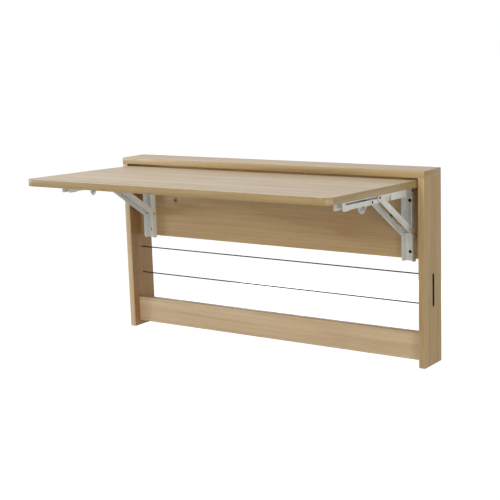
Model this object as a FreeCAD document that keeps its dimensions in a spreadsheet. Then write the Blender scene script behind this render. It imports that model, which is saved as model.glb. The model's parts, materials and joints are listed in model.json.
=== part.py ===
"""Fold down wall desk: a shallow melamine frame with a tabletop on two folding steel brackets.

Frame: X runs to the right, Y into the wall, Z up.  The origin lies on the wall plane, half way
across the desk, at the height of the wall fixing screws.  Lengths are in millimetres.
"""
import FreeCAD, Part
import math
import os
import re
import Sketcher
from FreeCAD import Placement, Rotation, Vector

# ---------------------------------------------------------------------------------------------
# Driving dimensions: alias -> (value, what it measures)
# ---------------------------------------------------------------------------------------------
SIZES = {
    # boards of the frame
    "frame_width": (1000, "outside width of the frame"),
    "frame_height": (518, "height of the frame, top panel included"),
    "frame_depth": (96, "depth of the frame from the wall to its front edges"),
    "board": (18, "thickness of every melamine board"),
    "band": (1, "thickness of the edge band"),
    "fixing_height": (391, "wall fixing screws above the frame's bottom edge"),
    "rail_height": (75, "height of the bottom rail"),
    "rail_lift": (14, "bottom rail above the frame's bottom edge"),
    "rail_setback": (25, "front of the bottom rail behind the frame's front"),
    "back_height": (220, "height of the back panel below the top panel"),
    "back_setback": (48, "front of the back panel behind the frame's front"),
    "cleat_height": (60, "height of the wall cleat"),
    "cleat_screw_rise": (15, "cleat's screws above and below its middle line"),
    # wall fixing holes
    "fixing_left": (140, "left wall fixing hole from the left side panel's inner face"),
    "fixing_right": (103, "right wall fixing hole from the right side panel's inner face"),
    "fixing_bore": (7.2, "clear bore for a wall screw"),
    "sleeve_wall": (1.5, "wall of the sleeve that lines a fixing hole"),
    "sleeve_flange": (15, "flange diameter of that sleeve"),
    "flange_thickness": (1.2, "flange thickness of that sleeve"),
    # board joints
    "dowel": (8, "diameter of a wooden dowel"),
    "dowel_depth": (14, "depth that a dowel reaches into each board"),
    "dowel_end": (0.5, "free depth beyond a dowel's or bolt's end"),
    "dowel_margin": (16, "dowel from the edge of its board"),
    "joint_clearance": (0.1, "clearance around a dowel, bolt or cam lock, on the radius"),
    "cam": (15, "diameter of a cam lock"),
    "cam_depth": (12.5, "depth of a cam lock"),
    "cam_reach": (24, "cam lock's middle from the end of its board"),
    "cam_margin": (40, "back panel's cam locks above its lower edge"),
    "bolt": (6, "diameter of a cam bolt"),
    "bolt_depth": (11, "depth that a cam bolt screws into the mating board"),
    # wire across the frame
    "wire": (3.5, "diameter of the wire"),
    "wire_setback": (49.5, "wire behind the frame's front"),
    "wire_drop": (39, "wire's upper run below the back panel's lower edge"),
    "wire_lift": (72.5, "wire's lower run above the bottom rail"),
    "wire_bend": (4, "bend radius of the wire's middle line"),
    "wire_hole": (0.3, "clearance around the wire in the side panels, on the radius"),
    "wire_seat": (12, "depth of the wire's blind holes in the left side panel"),
    "groove_width": (10, "width of the groove in the right side panel"),
    "groove_depth": (9, "depth of that groove"),
    # tabletop
    "table_length": (438, "tabletop from its rear edge to its front edge"),
    "table_gap": (3, "gap between the tabletop and each side panel"),
    "table_corner": (30, "radius of the tabletop's front corners"),
    "table_rear": (26.4, "rear edge of the tabletop in front of the pivot"),
    "table_tilt": (1.7, "rise of the open tabletop towards its front, in degrees"),
    # folding bracket: pivot and leg
    "pivot_setback": (31, "bracket pivot behind the frame's front"),
    "pivot_drop": (36.3, "bracket pivot below the underside of the top panel"),
    "pivot_under": (11.5, "bracket pivot below the underside of the tabletop"),
    "bracket_inset": (46.3, "middle of a bracket from the side panel's inner face"),
    "sheet": (1.8, "sheet thickness of the bracket's leg, arm and lever"),
    "leg_width": (31.2, "outside width of the leg channel"),
    "leg_depth": (21, "depth of the leg channel"),
    "leg_length": (197.5, "length of the leg"),
    "leg_above": (8.3, "leg's top end above the pivot"),
    "leg_corner": (8, "radius of the leg flanges' lower corners"),
    "leg_nose": (3, "radius of the leg flanges' upper corners"),
    # folding bracket: arm
    "arm_reach": (350, "arm's tip from the pivot"),
    "arm_width": (26, "outside width of the arm channel"),
    "arm_height": (26, "height of the arm channel"),
    "arm_tail": (11, "arm's rear end behind the pivot, and its lower corner's radius"),
    "arm_tail_top": (5, "radius of the arm's rear upper corner"),
    "arm_nose": (5, "radius of the arm's front lower corner"),
    "arm_lip": (2, "depth of the deeper lip at the front of the arm's flanges"),
    "arm_lip_length": (32, "length of that lip"),
    "slot_width": (5.2, "width of the knee slots in the arm's flanges"),
    "slot_land": (11.6, "metal between a knee slot's end and the arm's tip"),
    "knee_run": (179, "knee from the pivot along the open arm"),
    # folding bracket: strut
    "strut_back": (5.5, "strut's foot behind the bracket pivot"),
    "strut_width": (17, "width of a strut plate"),
    "strut_sheet": (2, "thickness of a strut plate"),
    "strut_heel": (8.5, "square end of a strut plate behind its foot pin"),
    "strut_corner": (3, "radius of that end's corners"),
    "plate_clearance": (0.4, "clearance between plates that swing past each other"),
    # rivets and pins
    "pivot_pin": (8, "diameter of the pivot pin"),
    "foot_pin": (5, "diameter of the pin at the strut's foot"),
    "foot_notch": (1.5, "play around that pin in the folded arm's notches"),
    "strut_rivet": (4.8, "diameter of the knee rivets"),
    "knee_collar": (10, "diameter of the collar between strut and arm"),
    "lever_pin": (5, "diameter of the lever pin"),
    "peened_head": (0.25, "height of the lever pin's peened heads"),
    "rivet_head": (1.2, "height of a rivet's head"),
    "head_rim": (1.2, "rim of a rivet's head around its shank"),
    "pin_clearance": (0.08, "running clearance around a pin, on the radius"),
    # release lever
    "lever_run": (208, "lever pin from the bracket pivot, along the arm"),
    "lever_under": (8.7, "lever pin below the bracket pivot's level"),
    "lever_reach": (30, "front of the finger scoop from the lever pin"),
    "lever_hang": (26.5, "lowest point of the finger scoop below the lever pin"),
    "lever_tail": (8, "lever's rear end behind its pin"),
    "lever_shoulder": (18, "end of the lever's level floor in front of its pin"),
    "scoop_round": (9, "radius of the finger scoop's lower corners"),
    "lever_crown": (6, "lever's upper edge above its pin, beside the pin"),
    "lever_brow": (2.5, "lever's upper edge above its pin, at the front"),
    "lever_floor": (5.6, "inside of the lever's floor below its pin"),
    "spring_wire": (0.8, "wire diameter of the lever spring"),
    "spring_pitch": (0.75, "pitch of the close-wound lever spring"),
    "spring_foot": (5, "length of the lever spring's lower leg"),
    # screws
    "screw_shank": (4, "diameter of a bracket or cleat screw"),
    "screw_head": (8.5, "head diameter of that screw"),
    "screw_head_height": (2.6, "head height of that screw"),
    "screw_grip": (14, "depth that a bracket screw reaches into its board"),
    "leg_screw_top": (37.7, "upper leg screw below the leg's top end"),
    "leg_screw_pitch": (135.6, "distance between a leg's two screws"),
    "arm_screw_first": (70, "first arm screw from the pivot"),
    "arm_screw_last": (30, "last arm screw from the arm's tip"),
    "cleat_screw_inset": (182, "outer cleat screws from the side panels' inner faces"),
    "cleat_screw_sink": (18, "depth of the counterbore for a cleat screw"),
}

# ---------------------------------------------------------------------------------------------
# Places that follow from the sizes.  Each is a formula over the names above it.
# ---------------------------------------------------------------------------------------------
PLACES = {
    # frame
    "bottom": "-fixing_height",
    "top": "frame_height - fixing_height",
    "front": "-frame_depth",
    "ceiling": "top - board",
    "inner_half": "frame_width / 2 - board",
    "back_front": "front + back_setback",
    "back_rear": "back_front + board",
    "back_foot": "ceiling - back_height",
    "rail_front": "front + rail_setback",
    "rail_rear": "rail_front + board",
    "rail_foot": "bottom + rail_lift",
    "rail_head": "rail_foot + rail_height",
    "joint_hole": "dowel + 2 * joint_clearance",
    "bolt_hole": "bolt + 2 * joint_clearance",
    "rail_middle": "(rail_front + rail_rear) / 2",
    "back_middle": "(back_front + back_rear) / 2",
    "side_middle": "frame_width / 2 - board / 2",
    "behind_back": "back_rear / 2",
    # wire
    "wire_y": "front + wire_setback",
    "wire_high": "back_foot - wire_drop",
    "wire_low": "rail_head + wire_lift",
    "groove_floor": "frame_width / 2 - groove_depth",
    "wire_outer": "groove_floor + wire_bend + wire_hole",
    # bracket
    "bracket_x": "inner_half - bracket_inset",
    "pivot_y": "front + pivot_setback",
    "pivot_z": "ceiling - pivot_drop",
    "leg_back": "back_setback - pivot_setback",
    "leg_front": "leg_back - leg_depth",
    "leg_foot": "leg_above - leg_length",
    "leg_inner": "leg_width / 2 - sheet",
    "arm_foot": "pivot_under - arm_height",
    "arm_inner": "arm_width / 2 - sheet",
    "table_half": "inner_half - table_gap",
    # strut: triangle of bracket pivot, foot and knee; folded, it ends at the far end of the slot
    "folded_run": "arm_reach - slot_land - slot_width / 2",
    "knee_back": "knee_run * strut_back * cos(table_tilt)",
    "knee_reach": "2 * (folded_run + knee_run * sin(table_tilt))",
    "strut_drop": "(folded_run ^ 2 - knee_run ^ 2 - 2 * knee_back) / knee_reach",
    "knee_dy": "knee_run * cos(table_tilt) + strut_back",
    "knee_dz": "knee_run * sin(table_tilt) + strut_drop",
    "strut_length": "sqrt(knee_dy ^ 2 + knee_dz ^ 2)",
    "strut_rise": "atan(knee_dz / knee_dy) / 1 deg",
    "strut_inner": "leg_width / 2 + plate_clearance",
    "strut_outer": "strut_inner + strut_sheet",
    # lever
    "lever_half": "arm_inner - plate_clearance",
    "lever_y": "pivot_y - lever_run * cos(table_tilt) - lever_under * sin(table_tilt)",
    "lever_z": "pivot_z + lever_run * sin(table_tilt) - lever_under * cos(table_tilt)",
    "spring_radius": "lever_pin / 2 + plate_clearance + spring_wire / 2",
}

DOC = FreeCAD.newDocument("FoldDownWallDesk")
PARTS = []
SIDES = (("left", -1), ("right", 1))
TURNS = {"X": (Vector(0, 1, 0), 90), "Y": (Vector(1, 0, 0), -90), "Z": (Vector(0, 0, 1), 0)}
# millimetres that a cut starts outside what it opens
PAST = 1


# ---------------------------------------------------------------------------------------------
# Helpers
# ---------------------------------------------------------------------------------------------
def formula(text):
    """Turn a formula over sizes and places into an expression over the spreadsheet."""
    def expand(match):
        word = match.group(0)
        if word in PLACES:
            return f"({formula(PLACES[word])})"
        return f"Sizes.{word}" if word in SIZES else word
    return re.sub(r"[a-z][a-z_]*", expand, str(text))


def value(text):
    """The present value of a formula, as a plain number."""
    result = SHEET.evalExpression(formula(text))
    return float(getattr(result, "Value", result))


def make_sheet():
    """The spreadsheet that holds every driving dimension."""
    sheet = DOC.addObject("Spreadsheet::Sheet", "Sizes")
    for row, (alias, (number, meaning)) in enumerate(SIZES.items(), 1):
        sheet.set(f"A{row}", meaning)
        sheet.set(f"B{row}", str(number))
        sheet.setAlias(f"B{row}", alias)
    DOC.recompute()
    return sheet


def bind(thing, **sizes):
    """Bind properties to formulas; a double underscore stands for a dot."""
    for name, text in sizes.items():
        thing.setExpression(name.replace("__", "."), formula(text))


def place(thing, x, y, z, turn=Rotation()):
    """Bind where an object stands, with a fixed turn."""
    thing.Placement = Placement(Vector(value(x), value(y), value(z)), turn)
    bind(thing, Placement__Base__x=x, Placement__Base__y=y, Placement__Base__z=z)


def tilt(thing, angle):
    """Bind an object's turn about X, which lowers its front when the angle is positive."""
    thing.Placement.Rotation = Rotation(Vector(1, 0, 0), value(angle))
    bind(thing, Placement__Rotation__Angle=angle)


def new_body(label):
    """An empty body that becomes one named part."""
    body = DOC.addObject("PartDesign::Body", label)
    body.Label = label
    PARTS.append(body)
    return body


def sketch_outline(body, corners):
    """A closed outline through corners (y, z), in the body's own YZ plane."""
    sketch = body.newObject("Sketcher::SketchObject", "Sketch")
    plane = next(item for item in body.Origin.OriginFeatures if item.Role == "YZ_Plane")
    sketch.AttachmentSupport = [(plane, "")]
    sketch.MapMode = "FlatFace"
    points = [Vector(value(y), value(z), 0) for y, z in corners]
    for start, end in zip(points, points[1:] + points[:1]):
        sketch.addGeometry(Part.LineSegment(start, end))
    for line, corner in enumerate(corners):
        after = (line + 1) % len(corners)
        sketch.addConstraint(Sketcher.Constraint("Coincident", line, 2, after, 1))
        for kind, text in zip(("DistanceX", "DistanceY"), corner):
            datum = Sketcher.Constraint(kind, -1, 1, line, 1, value(text))
            index = sketch.addConstraint(datum)
            sketch.setExpression(f"Constraints[{index}]", formula(text))
    return sketch


def rectangle(y_low, y_high, z_low, z_high):
    """The corners of a rectangle in the YZ plane."""
    return [(y_low, z_low), (y_high, z_low), (y_high, z_high), (y_low, z_high)]


def extrude(body, kind, corners, width):
    """A Pad or Pocket of an outline, equally far to both sides of the body's YZ plane."""
    feature = body.newObject(f"PartDesign::{kind}", kind)
    feature.Profile = sketch_outline(body, corners)
    feature.SideType = "Symmetric"
    bind(feature, Length=width)


def pad(body, corners, width):
    """Add an extruded outline to a body."""
    extrude(body, "Pad", corners, width)
    DOC.recompute()


def pocket(body, corners, width):
    """Cut an extruded outline out of a body."""
    before = body.Shape.Volume
    extrude(body, "Pocket", corners, width)
    DOC.recompute()
    must_shrink(body, before)


def must_shrink(body, before):
    """Stop if a cut missed its body."""
    if body.Shape.Volume > before - 1e-6:
        raise RuntimeError(f"{body.Label}: a cut removed nothing")


def rod(body, diameter, length, start, axis="X", kind="Additive"):
    """Add a round bar that runs from its start point along +X, +Y or +Z of the body."""
    bar = body.newObject(f"PartDesign::{kind}Cylinder", "Rod")
    place(bar, *start, Rotation(*TURNS[axis]))
    bind(bar, Radius=f"({diameter}) / 2", Height=length)
    DOC.recompute()


def bore(body, diameter, depth, start, axis="X"):
    """Drill a round hole that runs from its start point along +X, +Y or +Z of the body."""
    before = body.Shape.Volume
    rod(body, diameter, depth, start, axis, "Subtractive")
    must_shrink(body, before)


def block(body, x_low, x_high, y_low, y_high, z_low, z_high, kind="Additive"):
    """Add a rectangular block between formulas."""
    bar = body.newObject(f"PartDesign::{kind}Box", "Block")
    place(bar, x_low, y_low, z_low)
    bind(bar, Length=f"({x_high}) - ({x_low})", Width=f"({y_high}) - ({y_low})",
         Height=f"({z_high}) - ({z_low})")
    DOC.recompute()


def round_edges(body, corners, radius, across="x"):
    """Fillet the straight edges along one axis of the body, at corners on the other two axes."""
    tip = body.Tip
    others = [name for name in "xyz" if name != across]
    wanted = [tuple(value(text) for text in corner) for corner in corners]
    names = []
    for index, edge in enumerate(tip.Shape.Edges, 1):
        spots = [tuple(getattr(vertex.Point, name) for name in others) for vertex in edge.Vertexes]
        for corner in wanted:
            if len(spots) == 2 and all(math.dist(spot, corner) < 1e-4 for spot in spots):
                names.append(f"Edge{index}")
    fillet = body.newObject("PartDesign::Fillet", "Fillet")
    fillet.Base = (tip, names)
    bind(fillet, Radius=radius)
    DOC.recompute()


def outwards(sign, distance, length="0"):
    """X where a bar of a length starts, if it runs outwards from a distance on one side."""
    return f"({distance})" if sign > 0 else f"-({distance}) - ({length})"


# ---------------------------------------------------------------------------------------------
# Frame boards
# ---------------------------------------------------------------------------------------------
# Y, Z of the dowels that hold the rail and the back panel between the side panels
CROSS_DOWELS = [("rail_middle", "rail_foot + dowel_margin"),
                ("rail_middle", "rail_head - dowel_margin"),
                ("back_middle", "back_foot + dowel_margin"),
                ("back_middle", "ceiling - dowel_margin")]
# Y of the board's middle, Y of its rear face, Z of the cam lock
CROSS_CAMS = [("rail_middle", "rail_rear", "(rail_foot + rail_head) / 2"),
              ("back_middle", "back_rear", "back_foot + cam_margin")]
TOP_DOWEL_Y = "front + dowel_margin"
# X of the wall fixing holes, X and Z of the cleat's screws
FIXINGS = ("fixing_left - inner_half", "inner_half - fixing_right")
CLEAT_SCREWS = [(x, z) for x in ("cleat_screw_inset - inner_half", "0",
                                 "inner_half - cleat_screw_inset")
                for z in ("-cleat_screw_rise", "cleat_screw_rise")]
# Z of a leg's screws above the pivot, Y of an arm's three screws behind it
LEG_SCREWS = ("leg_above - leg_screw_top", "leg_above - leg_screw_top - leg_screw_pitch")
ARM_SCREWS = ("-arm_screw_first", "-(arm_screw_first + arm_reach - arm_screw_last) / 2",
              "arm_screw_last - arm_reach")


def make_top_panel():
    """Top panel, which lies over both side panels."""
    body = new_body("top_panel")
    pad(body, rectangle("front + band", "0", "ceiling", "top"), "frame_width - 2 * band")
    for _, sign in SIDES:
        middle = f"{sign} * side_middle"
        bore(body, "joint_hole", "dowel_depth + dowel_end", (middle, TOP_DOWEL_Y, "ceiling"), "Z")
        bore(body, "bolt_hole", "bolt_depth + dowel_end", (middle, "behind_back", "ceiling"), "Z")


def make_side_panel(side, sign):
    """Side panel, with blind holes on its inner face and its top edge."""
    body = new_body(f"{side}_side_panel")
    pad(body, rectangle("front + band", "0", "bottom + band", "ceiling"), "board")
    place(body, f"{sign} * side_middle", "0", "0")

    def inner(depth):
        """Local X where a hole of a depth starts that is drilled into the inner face."""
        return outwards(sign, "-board / 2", depth)
    for y, z in CROSS_DOWELS:
        bore(body, "joint_hole", "dowel_depth + dowel_end",
             (inner("dowel_depth + dowel_end"), y, z))
    for y, _, z in CROSS_CAMS:
        bore(body, "bolt_hole", "bolt_depth + dowel_end",
             (inner("bolt_depth + dowel_end"), y, z))
    bore(body, "joint_hole", "dowel_depth + dowel_end",
         ("0", TOP_DOWEL_Y, "ceiling - dowel_depth - dowel_end"), "Z")
    bore(body, "cam + 2 * joint_clearance", "cam_depth",
         (inner("cam_depth"), "behind_back", "ceiling - cam_reach"))
    bore(body, "bolt_hole", "cam_reach", ("0", "behind_back", "ceiling - cam_reach"), "Z")
    if side == "left":
        for z in ("wire_high", "wire_low"):
            bore(body, "wire + 2 * wire_hole", "wire_seat", (inner("wire_seat"), "wire_y", z))
    else:
        cut_groove(body)


def cut_groove(body):
    """Round-ended groove in the outer face for the wire's cross run, and the wire's two holes."""
    floor = "board / 2 - groove_depth"
    for z in ("wire_high", "wire_low"):
        bore(body, "wire + 2 * wire_hole", "board", ("-board / 2", "wire_y", z))
        bore(body, "groove_width", "groove_depth", (floor, "wire_y", z))
    block(body, floor, "board / 2", "wire_y - groove_width / 2", "wire_y + groove_width / 2",
          "wire_low", "wire_high", "Subtractive")


def make_cross_board(label, corners, cam):
    """A board between the side panels, with dowel holes in its ends and cam holes behind."""
    body = new_body(label)
    pad(body, corners, "2 * inner_half")
    middle, rear, cam_z = cam
    reach = "dowel_depth + dowel_end"
    for _, sign in SIDES:
        start = outwards(sign, f"inner_half - ({reach})", reach)
        for y, z in CROSS_DOWELS:
            if y == middle:
                bore(body, "joint_hole", reach, (start, y, z))
        bore(body, "bolt_hole", "cam_reach",
             (outwards(sign, "inner_half - cam_reach", "cam_reach"), middle, cam_z))
        bore(body, "cam + 2 * joint_clearance", "cam_depth",
             (f"{sign} * (inner_half - cam_reach)", f"{rear} - cam_depth", cam_z), "Y")
    return body


def make_boards():
    """All boards of the frame."""
    make_top_panel()
    for side, sign in SIDES:
        make_side_panel(side, sign)
    make_cross_board("bottom_rail",
                     rectangle("rail_front", "rail_rear", "rail_foot + band", "rail_head - band"),
                     CROSS_CAMS[0])
    back = make_cross_board("back_panel",
                            rectangle("back_front", "back_rear", "back_foot + band", "ceiling"),
                            CROSS_CAMS[1])
    for x in FIXINGS:
        bore(back, "fixing_bore + 2 * sleeve_wall + 2 * joint_clearance", "board",
             (x, "back_front", "0"), "Y")
    for _, sign in SIDES:
        for z in LEG_SCREWS:
            bore(back, "screw_shank + 2 * joint_clearance", "screw_grip + dowel_end",
                 (f"{sign} * bracket_x", "back_front", f"pivot_z + {z}"), "Y")
    for x, z in CLEAT_SCREWS:
        bore(back, "screw_shank + 2 * joint_clearance", "screw_grip + dowel_end",
             (x, "back_rear - screw_grip - dowel_end", z), "Y")


def make_edge_bands():
    """Edge bands of the frame's boards; the strips of one board meet in one piece."""
    half = "frame_width / 2"
    body = new_body("top_panel_edge_bands")
    block(body, f"-{half}", half, "front", "front + band", "ceiling", "top")
    for x_low, x_high in ((f"-{half}", f"-{half} + band"), (f"{half} - band", half)):
        block(body, x_low, x_high, "front + band", "0", "ceiling", "top")
    for side, sign in SIDES:
        body = new_body(f"{side}_side_edge_bands")
        x_low, x_high = sorted((f"{sign} * {half}", f"{sign} * inner_half"),
                               key=lambda text: value(text))
        block(body, x_low, x_high, "front", "front + band", "bottom", "ceiling")
        block(body, x_low, x_high, "front + band", "0", "bottom", "bottom + band")
    body = new_body("bottom_rail_edge_bands")
    for z_low, z_high in (("rail_foot", "rail_foot + band"), ("rail_head - band", "rail_head")):
        block(body, "-inner_half", "inner_half", "rail_front", "rail_rear", z_low, z_high)
    body = new_body("back_panel_edge_band")
    block(body, "-inner_half", "inner_half", "back_front", "back_rear",
          "back_foot", "back_foot + band")


# ---------------------------------------------------------------------------------------------
# What joins the boards and holds them to the wall
# ---------------------------------------------------------------------------------------------
def make_wall_cleat():
    """Batten that fills the depth between the back panel and the wall."""
    body = new_body("wall_cleat")
    pad(body, rectangle("back_rear", "0", "-cleat_height / 2", "cleat_height / 2"),
        "2 * inner_half")
    for x in FIXINGS:
        bore(body, "fixing_bore", "-back_rear", (x, "back_rear", "0"), "Y")
    for x, z in CLEAT_SCREWS:
        bore(body, "screw_shank + 2 * joint_clearance", "-back_rear", (x, "back_rear", z), "Y")
        bore(body, "screw_head + 2 * joint_clearance", "cleat_screw_sink",
             (x, "-cleat_screw_sink", z), "Y")
    screws = new_body("cleat_screws")
    for x, z in CLEAT_SCREWS:
        rod(screws, "screw_shank", "-cleat_screw_sink - back_rear + screw_grip",
            (x, "back_rear - screw_grip", z), "Y")
        rod(screws, "screw_head", "screw_head_height", (x, "-cleat_screw_sink", z), "Y")


def make_fixing_sleeves():
    """Flanged sleeves that line the wall fixing holes in the back panel."""
    body = new_body("wall_fixing_sleeves")
    for x in FIXINGS:
        rod(body, "fixing_bore + 2 * sleeve_wall", "board", (x, "back_front", "0"), "Y")
        rod(body, "sleeve_flange", "flange_thickness",
            (x, "back_front - flange_thickness", "0"), "Y")
    for x in FIXINGS:
        bore(body, "fixing_bore", "board + flange_thickness",
             (x, "back_front - flange_thickness", "0"), "Y")


def make_board_joints():
    """Dowels, cam bolts and cam locks."""
    dowels = new_body("frame_dowels")
    bolts = new_body("cam_bolts")
    cams = new_body("cam_locks")
    bolt_length = "bolt_depth + cam_reach - cam / 2 - dowel_end"
    for _, sign in SIDES:
        for y, z in CROSS_DOWELS:
            rod(dowels, "dowel", "2 * dowel_depth",
                (outwards(sign, "inner_half - dowel_depth", "2 * dowel_depth"), y, z))
        rod(dowels, "dowel", "2 * dowel_depth",
            (f"{sign} * side_middle", TOP_DOWEL_Y, "ceiling - dowel_depth"), "Z")
        for y, rear, z in CROSS_CAMS:
            rod(bolts, "bolt", bolt_length,
                (outwards(sign, f"inner_half + bolt_depth - ({bolt_length})", bolt_length), y, z))
            rod(cams, "cam", "cam_depth - dowel_end",
                (f"{sign} * (inner_half - cam_reach)", f"{rear} - cam_depth + dowel_end", z), "Y")
        rod(bolts, "bolt", bolt_length,
            (f"{sign} * side_middle", "behind_back", f"ceiling + bolt_depth - ({bolt_length})"), "Z")
        rod(cams, "cam", "cam_depth - dowel_end",
            (outwards(sign, "inner_half", "cam_depth - dowel_end"), "behind_back",
             "ceiling - cam_reach"))


def make_rack_wire():
    """U-shaped wire: two runs across the frame, joined in the right side panel's groove."""
    body = new_body("rack_wire")
    left_end = "-inner_half - wire_seat + dowel_end"
    bend_x = "wire_outer - wire_bend"
    for z in ("wire_high", "wire_low"):
        rod(body, "wire", f"{bend_x} - ({left_end})", (left_end, "wire_y", z))
    rod(body, "wire", "wire_high - wire_low - 2 * wire_bend",
        ("wire_outer", "wire_y", "wire_low + wire_bend"), "Z")
    for z, turn in (("wire_high - wire_bend", 90), ("wire_low + wire_bend", -90)):
        bend = body.newObject("PartDesign::AdditiveTorus", "Bend")
        place(bend, bend_x, "wire_y", z, Rotation(Vector(1, 0, 0), turn))
        bind(bend, Radius1="wire_bend", Radius2="wire / 2")
        bend.Angle3 = 90
        DOC.recompute()


# ---------------------------------------------------------------------------------------------
# Tabletop
# ---------------------------------------------------------------------------------------------
TABLE_TIP = "-(table_rear + table_length)"


def on_table(body, x="0"):
    """Stand a body on the tabletop's own axes: origin at the pivot, raised by the tilt."""
    place(body, x, "pivot_y", "pivot_z")
    tilt(body, "-table_tilt")


def shape_table(body, inset):
    """The tabletop's board with round front corners, smaller by an inset on all four edges."""
    half = f"(table_half - {inset})"
    tip = f"{TABLE_TIP} + {inset}"
    pad(body, rectangle(tip, f"-table_rear - {inset}", "pivot_under", "pivot_under + board"),
        f"2 * {half}")
    round_edges(body, [(f"-{half}", tip), (half, tip)], f"table_corner - {inset}", "z")


def make_tabletop():
    """Tabletop and the edge band around it."""
    table = new_body("tabletop")
    shape_table(table, "band")
    on_table(table)
    for _, sign in SIDES:
        for y in ARM_SCREWS:
            bore(table, "screw_shank + 2 * joint_clearance", "screw_grip + dowel_end",
                 (f"{sign} * bracket_x", y, "pivot_under"), "Z")
    outer, inner = (DOC.addObject("PartDesign::Body", name) for name in ("Outer", "Inner"))
    shape_table(outer, "0")
    shape_table(inner, "band")
    ring = DOC.addObject("Part::Cut", "tabletop_edge_band")
    ring.Base, ring.Tool = outer, inner
    on_table(ring)
    PARTS.append(ring)
    DOC.recompute()


# ---------------------------------------------------------------------------------------------
# Folding brackets: legs and what is fixed to them
# ---------------------------------------------------------------------------------------------
def make_leg(side, x):
    """Leg: a channel, open to the front, with holes for the pivot, the strut and two screws."""
    body = new_body(f"{side}_bracket_leg")
    pad(body, rectangle("leg_front", "leg_back", "leg_foot", "leg_above"), "leg_width")
    round_edges(body, [("leg_front", "leg_foot")], "leg_corner")
    round_edges(body, [("leg_front", "leg_above")], "leg_nose")
    pocket(body, rectangle(f"leg_front - {PAST}", "leg_back - sheet", f"leg_foot - {PAST}",
                           f"leg_above + {PAST}"), "2 * leg_inner")
    place(body, x, "pivot_y", "pivot_z")
    bore(body, "pivot_pin + 2 * pin_clearance", "leg_width", ("-leg_width / 2", "0", "0"))
    bore(body, "foot_pin + 2 * pin_clearance", "leg_width",
         ("-leg_width / 2", "strut_back", "-strut_drop"))
    for z in LEG_SCREWS:
        bore(body, "screw_shank + 2 * joint_clearance", "sheet", ("0", "leg_back - sheet", z), "Y")


def make_leg_screws(side, x):
    """Pan head screws through the leg into the back panel."""
    body = new_body(f"{side}_leg_screws")
    place(body, x, "pivot_y", "pivot_z")
    face = "leg_back - sheet"
    for z in LEG_SCREWS:
        rod(body, "screw_shank", "screw_grip + sheet", ("0", face, z), "Y")
        rod(body, "screw_head", "screw_head_height", ("0", f"{face} - screw_head_height", z), "Y")


def make_pivot_pin(side, x):
    """Pin through leg and arm, with a head on each side of the leg."""
    body = new_body(f"{side}_pivot_pin")
    place(body, x, "pivot_y", "pivot_z")
    rod(body, "pivot_pin", "leg_width", ("-leg_width / 2", "0", "0"))
    for start in ("leg_width / 2", "-leg_width / 2 - rivet_head"):
        rod(body, "pivot_pin + 2 * head_rim", "rivet_head", (start, "0", "0"))


def make_foot_pin(side, x):
    """Pin through the leg that carries both strut plates, with a head on each side."""
    body = new_body(f"{side}_strut_foot_pin")
    place(body, x, "pivot_y + strut_back", "pivot_z - strut_drop")
    half = "(strut_outer + plate_clearance / 2)"
    rod(body, "foot_pin", f"2 * {half}", (f"-{half}", "0", "0"))
    for _, sign in SIDES:
        rod(body, "foot_pin + 2 * head_rim", "rivet_head",
            (outwards(sign, half, "rivet_head"), "0", "0"))


# ---------------------------------------------------------------------------------------------
# Folding brackets: arms and what is fixed to them
# ---------------------------------------------------------------------------------------------
def make_arm(side, x):
    """Arm: a channel, open downwards, nested in the leg, with slots for knee and foot pin."""
    body = new_body(f"{side}_bracket_arm")
    lip = "arm_foot - arm_lip"
    pad(body, [("-arm_reach", lip), ("arm_lip_length - arm_reach", lip),
               ("arm_lip_length + arm_lip - arm_reach", "arm_foot"), ("arm_tail", "arm_foot"),
               ("arm_tail", "pivot_under"), ("-arm_reach", "pivot_under")], "arm_width")
    round_edges(body, [("arm_tail", "arm_foot")], "arm_tail")
    round_edges(body, [("arm_tail", "pivot_under")], "arm_tail_top")
    round_edges(body, [("-arm_reach", lip)], "arm_nose")
    pocket(body, rectangle(f"-arm_reach - {PAST}", f"arm_tail + {PAST}", f"{lip} - {PAST}",
                           "pivot_under - sheet"), "2 * arm_inner")
    on_table(body, x)
    bore(body, "pivot_pin + 2 * pin_clearance", "arm_width", ("-arm_width / 2", "0", "0"))
    bore(body, "lever_pin + 2 * pin_clearance", "arm_width",
         ("-arm_width / 2", "-lever_run", "-lever_under"))
    for run in ("knee_run", "folded_run"):
        bore(body, "slot_width", "arm_width", ("-arm_width / 2", f"-({run})", "0"))
    pocket(body, rectangle("-folded_run", "-knee_run", "-slot_width / 2", "slot_width / 2"),
           "arm_width")
    gap = "(foot_pin / 2 + foot_notch)"
    pocket(body, rectangle(f"-strut_drop - {gap}", f"-strut_drop + {gap}",
                           "arm_foot", f"-strut_back + {gap}"), "arm_width")
    for y in ARM_SCREWS:
        bore(body, "screw_shank + 2 * joint_clearance", "sheet",
             ("0", y, "pivot_under - sheet"), "Z")


def make_arm_screws(side, x):
    """Pan head screws through the arm up into the tabletop."""
    body = new_body(f"{side}_arm_screws")
    on_table(body, x)
    face = "pivot_under - sheet"
    for y in ARM_SCREWS:
        rod(body, "screw_shank", "screw_grip + sheet", ("0", y, face), "Z")
        rod(body, "screw_head", "screw_head_height", ("0", y, f"{face} - screw_head_height"), "Z")


def make_lever_pin(side, x):
    """Pin of the release lever, with a thin peened head outside each flange of the arm."""
    body = new_body(f"{side}_lever_pin")
    on_table(body, x)
    rod(body, "lever_pin", "arm_width", ("-arm_width / 2", "-lever_run", "-lever_under"))
    for start in ("arm_width / 2", "-arm_width / 2 - peened_head"):
        rod(body, "lever_pin + 2 * head_rim", "peened_head", (start, "-lever_run", "-lever_under"))


SPRING_TURNS = range(-2, 3)


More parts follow.
